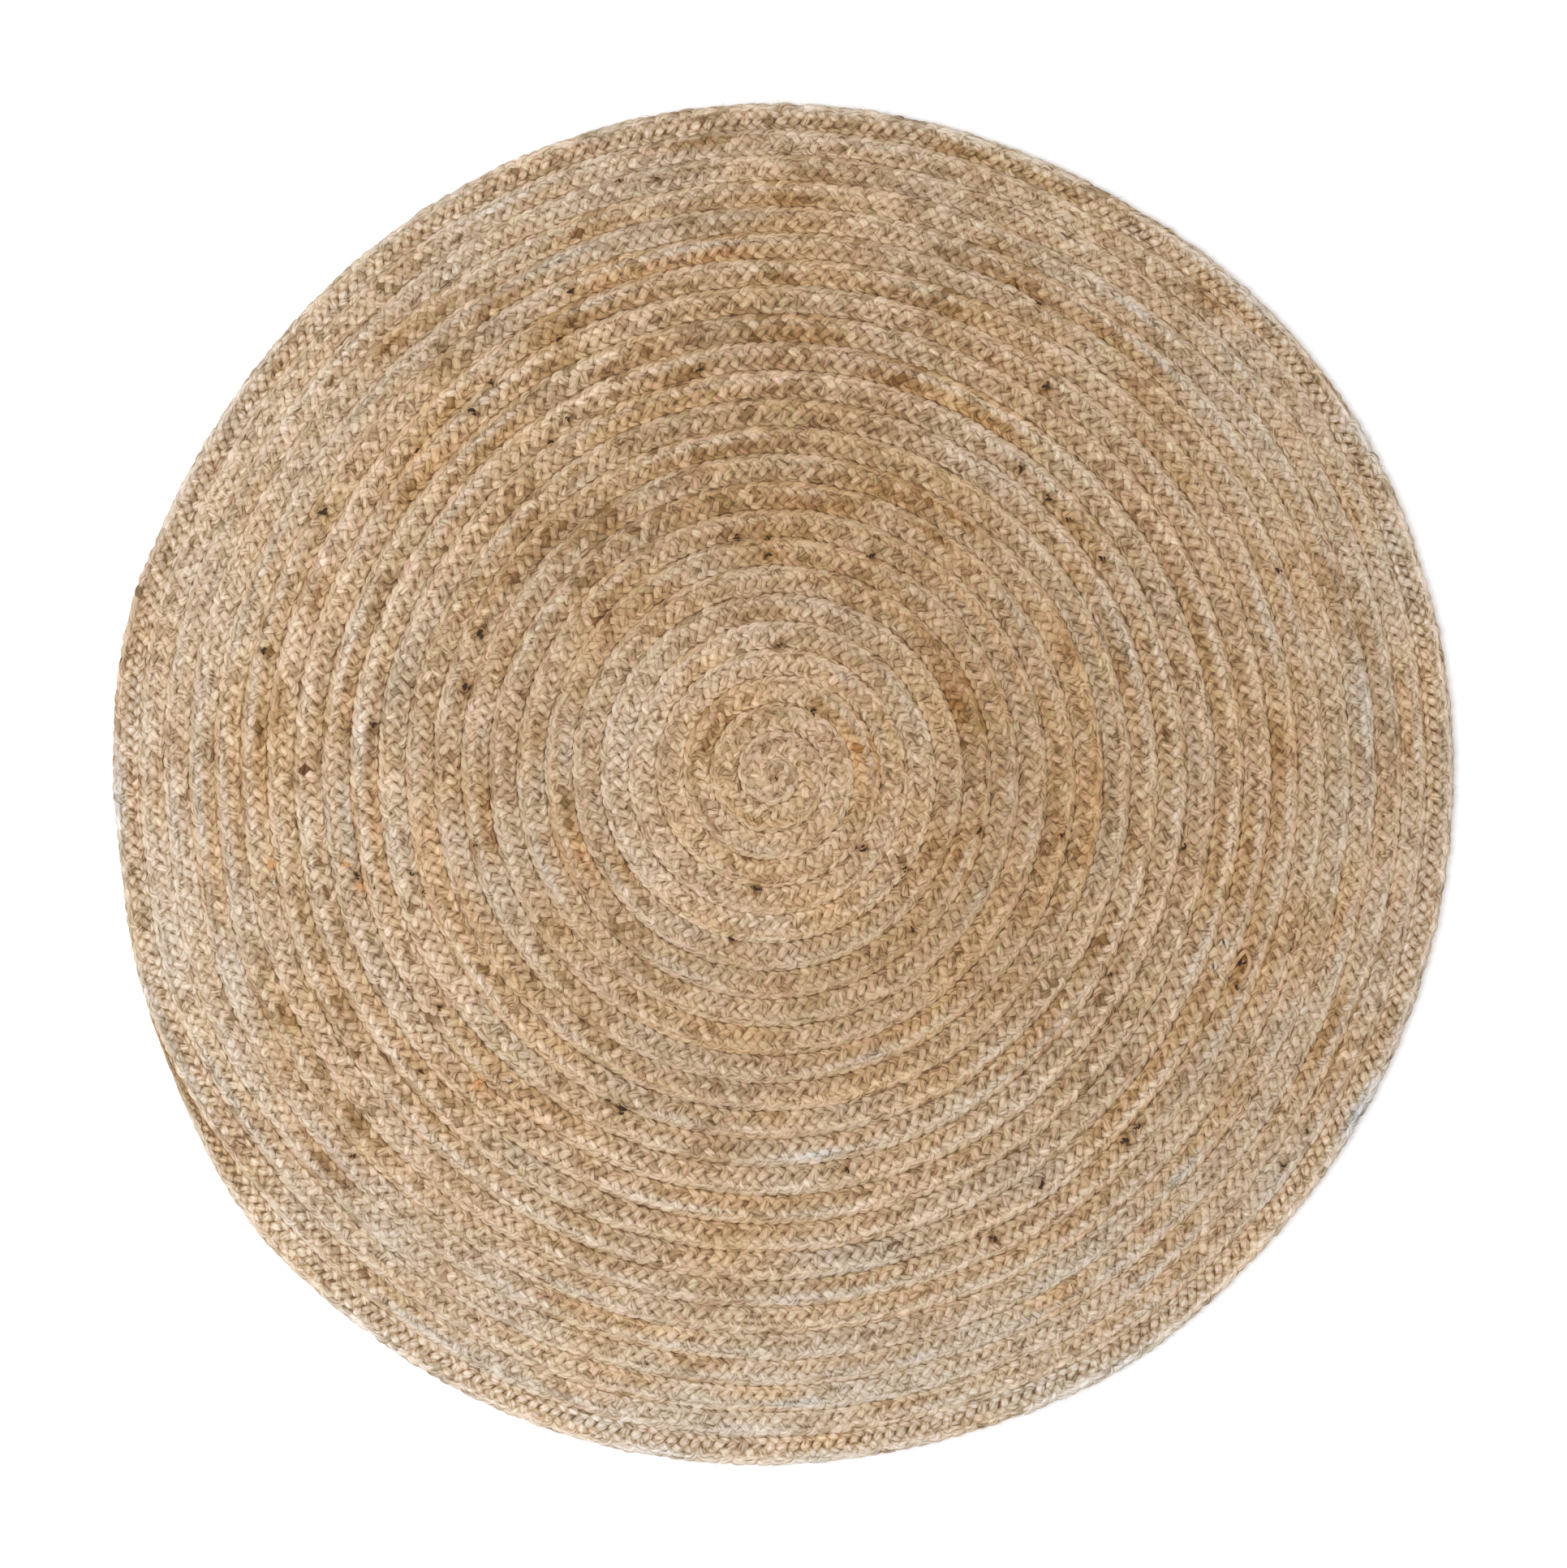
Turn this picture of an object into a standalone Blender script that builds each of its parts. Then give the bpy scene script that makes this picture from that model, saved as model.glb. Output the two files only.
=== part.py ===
"""A round rug: one long flat braid of jute, wound into a spiral and sewn edge to edge.

Metres, +Z up. The rug lies face up with its underside on Z = 0, and the origin is
under the middle of its outline. Seen from above, the braid winds clockwise on its way
out from the middle. A place on the rug is given by its turn, which counts up from 0 at
the middle to TURNS at the tip of the braid's tail.
"""

import math

import bmesh
import bpy
from mathutils import Vector

MM = 0.001

# The coil
ROW_PITCH = 24.25 * MM  # width of the braid, from one sewn seam to the next
TURNS = 25.34  # turns of braid, from the middle to the tip of the tail
CORE_TURN = 0.5  # where the innermost seam starts
CORE_PEAK_TURN = 0.75  # the bearing of the low dome's top, over the start of the braid
CORE_PEAK_RADIUS = 8.5 * MM  # and its distance from the coil's middle
TAIL_BEARING = math.radians(200.0)  # where the tail ends, counter-clockwise from +X
TAIL_SWEEP = math.radians(24.0)  # angle over which the tail tapers to its tip
STEPS_PER_TURN = 60

# The section of the braid
CROWN_HEIGHT = 8.0 * MM
SEAM_HEIGHT = 5.6 * MM
EDGE_HEIGHT = 3.8 * MM  # where the rug's free edge bulges out furthest
UNDERSIDE_INSET = 2.4 * MM  # how far the flat underside stays inside the free edge
CROWN_START = 0.27  # the crown's two shoulders, as shares of the row's width
CROWN_END = 0.73

# How the hand-sewn rim departs from an even spiral. Rows further in follow it less.
RIM_DEPARTURES = (
    # bearing in degrees, how far outward in mm
    (0, -1.2),
    (16, 0.6),
    (32, 3.2),
    (46, 0.4),
    (60, -5.0),
    (90, -2.2),
    (106, -2.6),
    (120, -5.0),
    (140, -9.2),
    (155, -7.6),
    (167, -1.8),
    (178, -4.2),
    (188, -5.2),
    (200, 3.4),
    (215, 1.4),
    (232, 1.0),
    (250, 4.0),
    (270, 2.8),
    (287, 0.2),
    (300, 3.0),
    (315, -2.2),
    (340, -2.4),
)
RIM_KNOTS = [(at + lap, out) for lap in (-360, 0, 360) for at, out in RIM_DEPARTURES]
RIM_FADE = 2.0  # power of the radius by which the departures fade towards the middle

# How the seams depart from an even pitch. The braid lies wider halfway out.
SEAM_DEPARTURES = (
    # turn, how far outward in mm
    (0.0, 0.0),
    (5.0, 0.4),
    (8.0, 1.9),
    (10.0, 3.3),
    (12.0, 4.4),
    (14.0, 5.0),
    (16.0, 7.0),
    (17.5, 8.5),
    (19.0, 8.0),
    (21.0, 5.8),
    (23.0, 2.7),
    (24.34, 0.0),
    (25.34, 0.0),
)

JUTE_COLOUR = (0.479, 0.332, 0.205, 1.0)
JUTE_ROUGHNESS = 0.85
SMOOTH_ANGLE = math.radians(50.0)


def clear_scene():
    for thing in list(bpy.data.objects):
        bpy.data.objects.remove(thing, do_unlink=True)


def bearing_of(turn):
    """The angle counter-clockwise from +X at which this turn lies."""
    return TAIL_BEARING + 2 * math.pi * (TURNS - turn)


def rim_departure(bearing):
    """The table of the rim's departures as one smooth closed curve through its rows."""
    degrees = math.degrees(bearing) % 360
    here = max(i for i, knot in enumerate(RIM_KNOTS) if knot[0] <= degrees)
    (at_0, out_0), (at_1, out_1), (at_2, out_2), (at_3, out_3) = RIM_KNOTS[here - 1 : here + 3]
    span = at_2 - at_1
    x = (degrees - at_1) / span
    start_slope = (out_2 - out_0) / (at_2 - at_0) * span
    end_slope = (out_3 - out_1) / (at_3 - at_1) * span
    rise = x * x * (3 - 2 * x)
    value = out_1 + (out_2 - out_1) * rise
    value += (x**3 - 2 * x**2 + x) * start_slope + (x**3 - x**2) * end_slope
    return value * MM


def seam_departure(turn):
    """The table of the seams' departures, with straight runs between its rows."""
    for (turn_1, out_1), (turn_2, out_2) in zip(SEAM_DEPARTURES, SEAM_DEPARTURES[1:]):
        if turn <= turn_2:
            break
    value = out_1 + (out_2 - out_1) * (turn - turn_1) / (turn_2 - turn_1)
    return value * MM


def seam_radius(turn):
    """Distance from the coil's middle to the seam on the outer side of this turn."""
    even = ROW_PITCH * turn + seam_departure(turn)
    fade = (turn / TURNS) ** RIM_FADE
    return even + rim_departure(bearing_of(turn)) * fade


def tail_width(turn):
    """Share of its full width that the braid has: 1, and down to 0 at the tip."""
    along = (TURNS - turn) * 2 * math.pi / TAIL_SWEEP
    along = min(1.0, max(0.0, along))
    return along * along * (3 - 2 * along)


def row_point(turn, share, height):
    """A point on the row at this turn, share of the way from its inner to its outer seam."""
    inner = seam_radius(turn - 1)
    width = (seam_radius(turn) - inner) * tail_width(turn)
    radius = inner + width * share
    return polar_point(bearing_of(turn), radius, height)


def polar_point(bearing, radius, height):
    return Vector((radius * math.cos(bearing), radius * math.sin(bearing), height))


def turn_at(step, last_step):
    return TURNS - (last_step - step) / STEPS_PER_TURN


def middle_of_outline(rim):
    """The middle of the outline's box, in plan."""
    xs = [vertex.co.x for vertex in rim]
    ys = [vertex.co.y for vertex in rim]
    return Vector(((min(xs) + max(xs)) / 2, (min(ys) + max(ys)) / 2, 0))


def add_seams(bm, last_step):
    """The seam lines' points from the middle out. The last turn of them is the free edge."""
    seams = []
    first_free = last_step - STEPS_PER_TURN
    for step in range(last_step):
        height = SEAM_HEIGHT if step < first_free else EDGE_HEIGHT
        seams.append(bm.verts.new(row_point(turn_at(step, last_step), 1.0, height)))
    return seams


def add_crowns(bm, last_step):
    """The two shoulders of the rows' crown, by step."""
    crowns = {}
    for step in range(STEPS_PER_TURN, last_step):
        turn = turn_at(step, last_step)
        crowns[step] = (
            bm.verts.new(row_point(turn, CROWN_START, CROWN_HEIGHT)),
            bm.verts.new(row_point(turn, CROWN_END, CROWN_HEIGHT)),
        )
    return crowns


def add_rows(bm, seams, crowns, last_step):
    """The ribbed top: three bands across each row, closed to a point at the tail's tip."""
    for step in range(STEPS_PER_TURN, last_step - 1):
        here = (seams[step - STEPS_PER_TURN], *crowns[step], seams[step])
        after = (seams[step - STEPS_PER_TURN + 1], *crowns[step + 1], seams[step + 1])
        for band in range(3):
            bm.faces.new((here[band], here[band + 1], after[band + 1], after[band]))
    end = last_step - 1
    tip = seams[last_step - STEPS_PER_TURN]
    inner = seams[end - STEPS_PER_TURN]
    start, finish = crowns[end]
    for first, second in ((inner, start), (start, finish), (finish, seams[end])):
        bm.faces.new((first, second, tip))


def add_core(bm, seams, crowns):
    """The start of the braid, a low dome inside the innermost seam."""
    top = bm.verts.new(polar_point(bearing_of(CORE_PEAK_TURN), CORE_PEAK_RADIUS, CROWN_HEIGHT))
    start, finish = crowns[STEPS_PER_TURN]
    border = seams[: STEPS_PER_TURN + 1] + [finish, start]
    for i, vertex in enumerate(border):
        bm.faces.new((vertex, border[(i + 1) % len(border)], top))


def add_underside(bm, rim):
    """The free edge turned under, and the flat face that the rug lies on."""
    below = []
    for vertex in rim:
        inward = Vector((vertex.co.x, vertex.co.y, 0)).normalized() * UNDERSIDE_INSET
        below.append(bm.verts.new((vertex.co.x - inward.x, vertex.co.y - inward.y, 0)))
    middle = bm.verts.new((0, 0, 0))
    for i, vertex in enumerate(rim):
        after = (i + 1) % len(rim)
        bm.faces.new((vertex, rim[after], below[after], below[i]))
        bm.faces.new((below[i], below[after], middle))


def jute_material():
    material = bpy.data.materials.new("jute")
    material.use_nodes = True
    surface = material.node_tree.nodes["Principled BSDF"]
    surface.inputs["Base Color"].default_value = JUTE_COLOUR
    surface.inputs["Roughness"].default_value = JUTE_ROUGHNESS
    surface.inputs["Metallic"].default_value = 0.0
    return material


def build_rug():
    last_step = round((TURNS - CORE_TURN) * STEPS_PER_TURN)
    bm = bmesh.new()
    seams = add_seams(bm, last_step)
    crowns = add_crowns(bm, last_step)
    rim = seams[last_step - STEPS_PER_TURN :]
    add_rows(bm, seams, crowns, last_step)
    add_core(bm, seams, crowns)
    add_underside(bm, rim)
    bmesh.ops.translate(bm, verts=bm.verts, vec=-middle_of_outline(rim))
    bmesh.ops.recalc_face_normals(bm, faces=bm.faces)
    mesh = bpy.data.meshes.new("braided_rug")
    bm.to_mesh(mesh)
    bm.free()
    mesh.shade_smooth()
    mesh.set_sharp_from_angle(angle=SMOOTH_ANGLE)
    mesh.materials.append(jute_material())
    rug = bpy.data.objects.new("braided_rug", mesh)
    bpy.context.scene.collection.objects.link(rug)
    return rug


clear_scene()
build_rug()
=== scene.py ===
"""The looks of a round jute rug: one five-strand flat braid, wound into a spiral and sewn.

Metres, +Z up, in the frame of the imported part. A place along the braid is its turn, which
counts up from 0 at the coil's middle to TURNS at the tip of the tail, and a place across it
is its share, from 0 at the row's inner seam to 1 at its outer one. The strands' own measure
along the braid is the run, in pitches: in one pitch each column of the braid gains one bead.
In STRANDS pitches, its period, a strand goes across the braid and back, and how many periods
it has gone through is its phase.
"""

import math

import bpy
import numpy as np
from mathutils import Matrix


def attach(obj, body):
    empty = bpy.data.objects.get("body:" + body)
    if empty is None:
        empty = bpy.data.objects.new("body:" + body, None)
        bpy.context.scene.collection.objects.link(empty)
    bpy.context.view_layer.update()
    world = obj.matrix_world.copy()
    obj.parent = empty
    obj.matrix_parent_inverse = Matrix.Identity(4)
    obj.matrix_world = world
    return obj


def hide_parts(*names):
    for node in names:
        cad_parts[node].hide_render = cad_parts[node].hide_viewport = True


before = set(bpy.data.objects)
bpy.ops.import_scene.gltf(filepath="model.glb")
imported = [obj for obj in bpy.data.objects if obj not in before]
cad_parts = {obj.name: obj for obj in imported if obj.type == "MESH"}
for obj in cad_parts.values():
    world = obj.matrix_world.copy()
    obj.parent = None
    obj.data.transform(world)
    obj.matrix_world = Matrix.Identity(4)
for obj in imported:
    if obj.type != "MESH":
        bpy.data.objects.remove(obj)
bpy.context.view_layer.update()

MM = 0.001
SEED = 25

# The coil, as in the part's solids
ROW_PITCH = 24.25 * MM
TURNS = 25.34
TAIL_BEARING = math.radians(200.0)
TAIL_SWEEP = math.radians(24.0)
RIM_STEPS = 60
RIM_DEPARTURES = (
    # bearing in degrees, how far outward in mm
    (0, -1.2),
    (16, 0.6),
    (32, 3.2),
    (46, 0.4),
    (60, -5.0),
    (90, -2.2),
    (106, -2.6),
    (120, -5.0),
    (140, -9.2),
    (155, -7.6),
    (167, -1.8),
    (178, -4.2),
    (188, -5.2),
    (200, 3.4),
    (215, 1.4),
    (232, 1.0),
    (250, 4.0),
    (270, 2.8),
    (287, 0.2),
    (300, 3.0),
    (315, -2.2),
    (340, -2.4),
)
RIM_KNOTS = np.array([(at + lap, out) for lap in (-360, 0, 360) for at, out in RIM_DEPARTURES])
RIM_FADE = 2.0
SEAM_DEPARTURES = np.array(
    (
        # turn, how far outward in mm
        (0.0, 0.0),
        (5.0, 0.4),
        (8.0, 1.9),
        (10.0, 3.3),
        (12.0, 4.4),
        (14.0, 5.0),
        (16.0, 7.0),
        (17.5, 8.5),
        (19.0, 8.0),
        (21.0, 5.8),
        (23.0, 2.7),
        (24.34, 0.0),
        (25.34, 0.0),
    )
)


def bearing_of(turn):
    """The angle counter-clockwise from +X at which this turn lies."""
    return TAIL_BEARING + 2 * math.pi * (TURNS - turn)


def rim_departure(bearing):
    """The table of the rim's departures as one smooth closed curve through its rows."""
    degrees = np.degrees(bearing) % 360
    here = np.searchsorted(RIM_KNOTS[:, 0], degrees, side="right") - 1
    (at_0, out_0), (at_1, out_1), (at_2, out_2), (at_3, out_3) = (
        RIM_KNOTS[here + step].T for step in (-1, 0, 1, 2)
    )
    span = at_2 - at_1
    x = (degrees - at_1) / span
    start_slope = (out_2 - out_0) / (at_2 - at_0) * span
    end_slope = (out_3 - out_1) / (at_3 - at_1) * span
    value = out_1 + (out_2 - out_1) * x * x * (3 - 2 * x)
    value += (x**3 - 2 * x**2 + x) * start_slope + (x**3 - x**2) * end_slope
    return value * MM


def seam_radius(turn):
    """Distance from the coil's middle to the seam on the outer side of this turn."""
    turn = np.asarray(turn, float)
    uneven = np.interp(turn, SEAM_DEPARTURES[:, 0], SEAM_DEPARTURES[:, 1]) * MM
    fade = (np.clip(turn, 0, TURNS) / TURNS) ** RIM_FADE
    return np.maximum(0, ROW_PITCH * turn + uneven + rim_departure(bearing_of(turn)) * fade)


def smooth(low, high, value):
    """0 at low, 1 at high, and a smooth rise between. low may be the larger one."""
    x = np.clip((value - low) / (high - low), 0, 1)
    return x * x * (3 - 2 * x)


def tail_width(turn):
    """Share of its full width that the braid has: 1, and down to 0 at the tip."""
    return smooth(0, TAIL_SWEEP, (TURNS - turn) * 2 * math.pi)


def middle_of_outline():
    """The middle of the outline's box, in plan, where the part has its origin."""
    turn = TURNS - 1 + np.arange(RIM_STEPS) / RIM_STEPS
    inner = seam_radius(turn - 1)
    radius = inner + (seam_radius(turn) - inner) * tail_width(turn)
    x, y = radius * np.cos(bearing_of(turn)), radius * np.sin(bearing_of(turn))
    return np.array([(x.min() + x.max()) / 2, (y.min() + y.max()) / 2, 0])


MIDDLE = middle_of_outline()


def polar_points(bearing, radius, height):
    """Points in the part's frame, by their bearing and distance from the coil's middle."""
    return np.stack([radius * np.cos(bearing), radius * np.sin(bearing), height], -1) - MIDDLE


def place(turn, share, height):
    """The points on the row at these turns, share of the way from its inner to outer seam."""
    inner = seam_radius(turn - 1)
    radius = inner + (seam_radius(turn) - inner) * tail_width(turn) * share
    return polar_points(bearing_of(turn), radius, height)


# ---------------------------------------------------------------- the path of the strands

STRANDS = 5
START_TURN = 0.2  # where the strands begin, folded in at the coil's middle
TABLE_STEP = 0.002  # turns, from one row of the table of pitches to the next
PITCH_BY_RADIUS = ((0.09, 9.7), (0.25, 10.1), (0.33, 11.4), (0.45, 11.8), (0.52, 10.8))  # m, mm
SWINGS = (-0.8, -0.4, 0.0, 0.4, 0.8)  # of a strand, from side to side
SHARES = (0.01, 0.135, 0.50, 0.705, 0.925)  # where those are across the row
BEND_SWING = 0.55  # swing from which a strand bends round at the braid's edge
BEND_POWER = 3.0  # how soon it has turned there
CROSSING = 0.1  # of its period, from one of a strand's crossings to the next
BEND_PHASE = 0.4  # where in each half of its period it starts to bend round
OVERS = (0.2, 0.4, 0.7, 0.9)  # where in its period a strand passes over another
UNDERS = (0.1, 0.3, 0.6, 0.8)
BENDS = (0.465, 0.5, 0.965, 1.0)  # where it bends round at the braid's edges
FLATTENING = 0.4  # under 1, the strand stays high or low for longer and changes over faster
FLAT = 0.027  # half the length of an over's flat top, as a share of the period
FREE_TURNS = 1.1  # the braid's last turns are the rug's free edge
FREE_STEPS = np.arange(2, 22) / 20  # phases of the sections there, evenly spaced

# How unevenly the braid was pulled. Lengths along it are in pitches
COMMON_WARP = 0.07  # in pitches, by which all strands run ahead or behind
WARP_SPACING = 2.5
OWN_WARP = 0.02  # in pitches, by which one strand does
SHARE_WANDER = 0.018  # across the row
LIFT_WANDER = 0.10  # of the height by which it rises and falls


def pitch_table():
    """Turns from the braid's start to its tip, and how many pitches lie before each."""
    turns = np.arange(START_TURN, TURNS, TABLE_STEP)
    middle = (seam_radius(turns - 1) + seam_radius(turns)) / 2
    radii, pitches = np.array(PITCH_BY_RADIUS).T
    pitch = np.interp(middle, radii, pitches) * MM
    run = np.concatenate([[0], np.cumsum(middle[1:] * 2 * math.pi * np.diff(turns) / pitch[1:])])
    return turns, run


TABLE_TURNS, TABLE_RUN = pitch_table()


def turn_of(run):
    return np.interp(run, TABLE_RUN, TABLE_TURNS)


def swing_of(phase):
    """Where a strand is across the braid at this phase. Its bends are cut short at the edges,
    at swings of -0.7 and 0.7 in place of -1 and 1."""
    x = phase % 1
    even = np.where(x < 0.5, 4 * x - 1, 3 - 4 * x)
    over = np.clip((np.abs(even) - BEND_SWING) / (1 - BEND_SWING), 0, 1)
    bent = BEND_SWING + (1 - BEND_SWING) * (1 - (1 - over) ** BEND_POWER) / BEND_POWER
    return np.where(np.abs(even) > BEND_SWING, np.sign(even) * bent, even)


def weave_of(phase):
    """1 where a strand passes over another, -1 where it passes under one.

    Round its bend at the row's outer edge a strand stays high. On its way in from there, at
    the phase of 0.6, rounding decides whether it is right under or halfway.
    """
    x = phase % 1
    x = np.where(x < CROSSING, x + 1, x)
    in_half = np.where(x < 0.5, x, x - 0.5)
    crossing = np.cos((in_half - CROSSING) / CROSSING * math.pi)
    turning = -np.cos((in_half - BEND_PHASE) / (2 * CROSSING) * math.pi)
    wave = -np.where((in_half > BEND_PHASE) | (in_half < CROSSING), turning, crossing)
    return np.sign(wave) * np.abs(wave) ** FLATTENING


def period_steps():
    """The phases of a period at which a strand has a section."""
    tops = [over + side for over in OVERS for side in (-FLAT, FLAT)]
    return np.array(sorted(tops + list(UNDERS + BENDS)))


def strand_phases(strand):
    """The phases at which a strand's sections lie, from its start to its end."""
    first, last = strand / STRANDS, (TABLE_RUN[-1] + strand) / STRANDS
    free_run = np.interp(TURNS - FREE_TURNS, TABLE_TURNS, TABLE_RUN)
    free_from = (free_run + strand) / STRANDS
    parts = []
    for lap in range(math.floor(first) - 1, math.ceil(last) + 1):
        parts.append(lap + (FREE_STEPS if lap > free_from else period_steps()))
    phases = np.concatenate(parts)
    return phases[(phases >= first) & (phases <= last)]


def wander(rng, count, spread):
    """One random number for each section of a strand, with neighbours alike."""
    values = rng.normal(size=count + 2)
    return spread * (values[:-2] + 2 * values[1:-1] + values[2:]) / math.sqrt(6)


def value_noise(rng, along, spacing):
    """A random number that drifts along a length, with a new one every spacing."""
    knots = rng.normal(size=int(along.max() / spacing) + 3)
    return np.interp(along / spacing, np.arange(len(knots)), knots)


def warp_of(run):
    """By how many pitches all strands run ahead or behind at a place along the braid."""
    rng = np.random.default_rng(SEED)
    knots = COMMON_WARP * rng.normal(size=math.ceil(TABLE_RUN[-1] / WARP_SPACING) + 3)
    return np.interp(run / WARP_SPACING, np.arange(len(knots)), knots)


# ---------------------------------------------------------------- the form of the strands

MID_HEIGHT = 4.0 * MM
TILT = 0.4 * MM  # the rows' outer edges ride up on the next row, and the inner ones lie lower
WEAVE_HEIGHT = 1.65 * MM  # how far a strand's middle rises and falls over and under
HALF_WIDTH = 4.4 * MM  # of a strand
HALF_THICKNESS = 2.2 * MM
EDGE_SWINGS = (0.55, 0.7)  # over which a strand changes towards its bend round the edge
EDGE_NARROWING = 0.25  # by how much narrower it is there, as a share
EDGE_THICKENING = 0.10  # and how much thicker
PLUMP_WANDER = 0.05  # by which a strand's width is uneven from section to section, as a share
PLUMP_DRIFT = 0.08  # and over PLUMP_LENGTH
PLUMP_LENGTH = 0.35  # periods
TIP_SIZE = 0.25  # of a strand at the tail's tip, as a share of its full size
START_SIZE = 0.3  # at turn 0, where it is folded in, the share that it has of the rest
START_TURNS = 1.2  # the turn at which it has its full size
TAIL_HEIGHT = 0.88  # at its tip the braid is pressed flatter, to these shares
TAIL_WEAVE = 0.35
TAIL_THICKNESS = 0.70
SECTION_OVER = np.radians((-10.0, 40.0, 90.0, 140.0, 190.0, 270.0))  # most corners face up
SECTION_UNDER = np.radians((-40.0, 10.0, 90.0, 170.0, 220.0, 270.0))  # most corners face down


def directions_across(points):
    """The level direction across a line, and the one upward from it, at each of its points."""
    along = np.gradient(points, axis=0)
    along /= np.linalg.norm(along, axis=1)[:, None]
    side = np.cross(along, (0, 0, 1))
    side /= np.linalg.norm(side, axis=1)[:, None]
    return side, np.cross(side, along)


def strand_height(share, weave, lift, tail):
    """The height of a strand's middle. tail is the braid's width there, as a share."""
    height = MID_HEIGHT * (TAIL_HEIGHT + (1 - TAIL_HEIGHT) * tail) + TILT * (share - 0.5)
    return height + WEAVE_HEIGHT * weave * lift * (TAIL_WEAVE + (1 - TAIL_WEAVE) * tail)


def strand_girth(rng, phases, turn, tail):
    """Half the width and half the thickness of a strand's sections."""
    started = START_SIZE + (1 - START_SIZE) * smooth(0, START_TURNS, turn)
    size = TIP_SIZE + (1 - TIP_SIZE) * tail * started
    edge = smooth(*EDGE_SWINGS, np.abs(swing_of(phases)))
    plump = 1 + wander(rng, len(phases), PLUMP_WANDER)
    plump += PLUMP_DRIFT * value_noise(rng, phases - phases[0], PLUMP_LENGTH)
    half_width = HALF_WIDTH * (1 - EDGE_NARROWING * edge) * size * plump
    thickness = np.maximum(size, TAIL_THICKNESS * (1 - tail))
    return half_width, HALF_THICKNESS * (1 + EDGE_THICKENING * edge) * thickness


def corner_shares(corners, turn, tail):
    """How far across the row each corner of a strand lies."""
    inner = seam_radius(turn - 1)
    width = np.maximum(seam_radius(turn) - inner, MM) * tail
    x, y, _ = np.moveaxis(corners + MIDDLE, -1, 0)
    return (np.hypot(x, y) - inner[:, None]) / np.maximum(width, MM)[:, None]


def strand_mesh(strand):
    """The corners of a strand's sections, and by section what its looks are worked out from."""
    rng = np.random.default_rng(SEED + strand)
    phases = strand_phases(strand)
    count = len(phases)
    run = phases * STRANDS - strand
    turn = turn_of(run + warp_of(run) + wander(rng, count, OWN_WARP))
    tail, weave = tail_width(turn), weave_of(phases)
    share = np.interp(swing_of(phases), SWINGS, SHARES) + wander(rng, count, SHARE_WANDER)
    lift = 1 + wander(rng, count, LIFT_WANDER)
    points = place(turn, share, strand_height(share, weave, lift, tail))
    side, up = directions_across(points)
    half_width, half_thickness = strand_girth(rng, phases, turn, tail)
    blend = ((1 + weave) / 2)[:, None]
    angles = SECTION_OVER * blend + SECTION_UNDER * (1 - blend)
    corners = (
        points[:, None]
        + side[:, None] * (np.cos(angles) * half_width[:, None])[..., None]
        + up[:, None] * (np.sin(angles) * half_thickness[:, None])[..., None]
    )
    corners[..., 2] = np.maximum(corners[..., 2], 0.0)
    steps = np.linalg.norm(np.diff(points, axis=0), axis=1)
    return {
        "corners": corners,
        "angles": angles,
        "length": np.concatenate([[0], np.cumsum(steps)]),
        "run": run,
        "turn": turn,
        "share": corner_shares(corners, turn, tail),
    }


# ---------------------------------------------------------------- colours

TONES = np.array(
    (
        # turn, lightness of the row's inner and outer half, warmth of the same
        (0.0, 157, 144, 60, 58),
        (4.0, 154, 149, 60, 59),
        (6.0, 158, 157, 54, 51),
        (7.5, 140, 149, 59, 56),
        (9.0, 142, 148, 61, 56),
        (12.5, 142, 156, 61, 57),
        (14.0, 148, 166, 57, 49),
        (17.0, 145, 168, 61, 50),
        (19.0, 149, 164, 59, 48),
        (21.0, 156, 162, 53, 43),
        (23.9, 161, 164, 50, 43),
        (24.5, 167, 169, 47, 38),
        (25.4, 174, 179, 45, 36),
    )
)
LUMINANCE = (0.2126, 0.7152, 0.0722)
ALBEDO_GAIN = 1.20
GREEN_SHARE = 0.462  # of the warmth, by which green lies under red
GREEN_DRIFT = 0.030
GREEN_LENGTH = 1.7  # pitches, as the other lengths here

# The pale outer half of a row
BAND_START = (0.36, 0.62)  # shares over which it begins
BAND_END = (0.66, 0.97)  # and over which it ends in the next row's shade
BAND_DRIFT = 0.15
BAND_LENGTH = 3.0
BAND_MOST = 1.2

# The rug's sides, one of them paler with painted light
LIT_SIDE_BEARING = math.radians(185)  # the side from which painted light falls, where the rug is palest
LIT_SIDE_TURNS = (1, 6)  # over which that painted light begins
# how much paler and less warm the painted light makes that side
LIT_SIDE_LIGHTNESS = 6.0
LIT_SIDE_WARMTH = -4.0
SIDES = np.array(
    (
        # bearing in degrees, how much paler the outer rows are on that side
        (0, 3.0),
        (30, 4.5),
        (60, -1.5),
        (90, -9.5),
        (120, -6.0),
        (180, 0.0),
        (225, -2.5),
        (270, 6.0),
        (300, 8.0),
        (330, 2.0),
        (360, 3.0),
    )
)
SIDES_TURNS = (6, 13)  # over which that begins

# Patches of some beads, and single beads
PATCH_LIGHTNESS = 7.5
PATCH_LENGTH = 4.5
BEAD_LIGHTNESS = 9.5
BEAD_LENGTH = 1.2
SKEW = 0.03  # dark places stand out more than pale ones
WARMTH_OF_DARK_PATCH = 0.75  # dark places are warmer by this share of their depth
WARMTH_OF_DARK_BEAD = 0.15
PATCH_WARMTH = 6.0
WARMTH_LENGTH = 6.5

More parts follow.
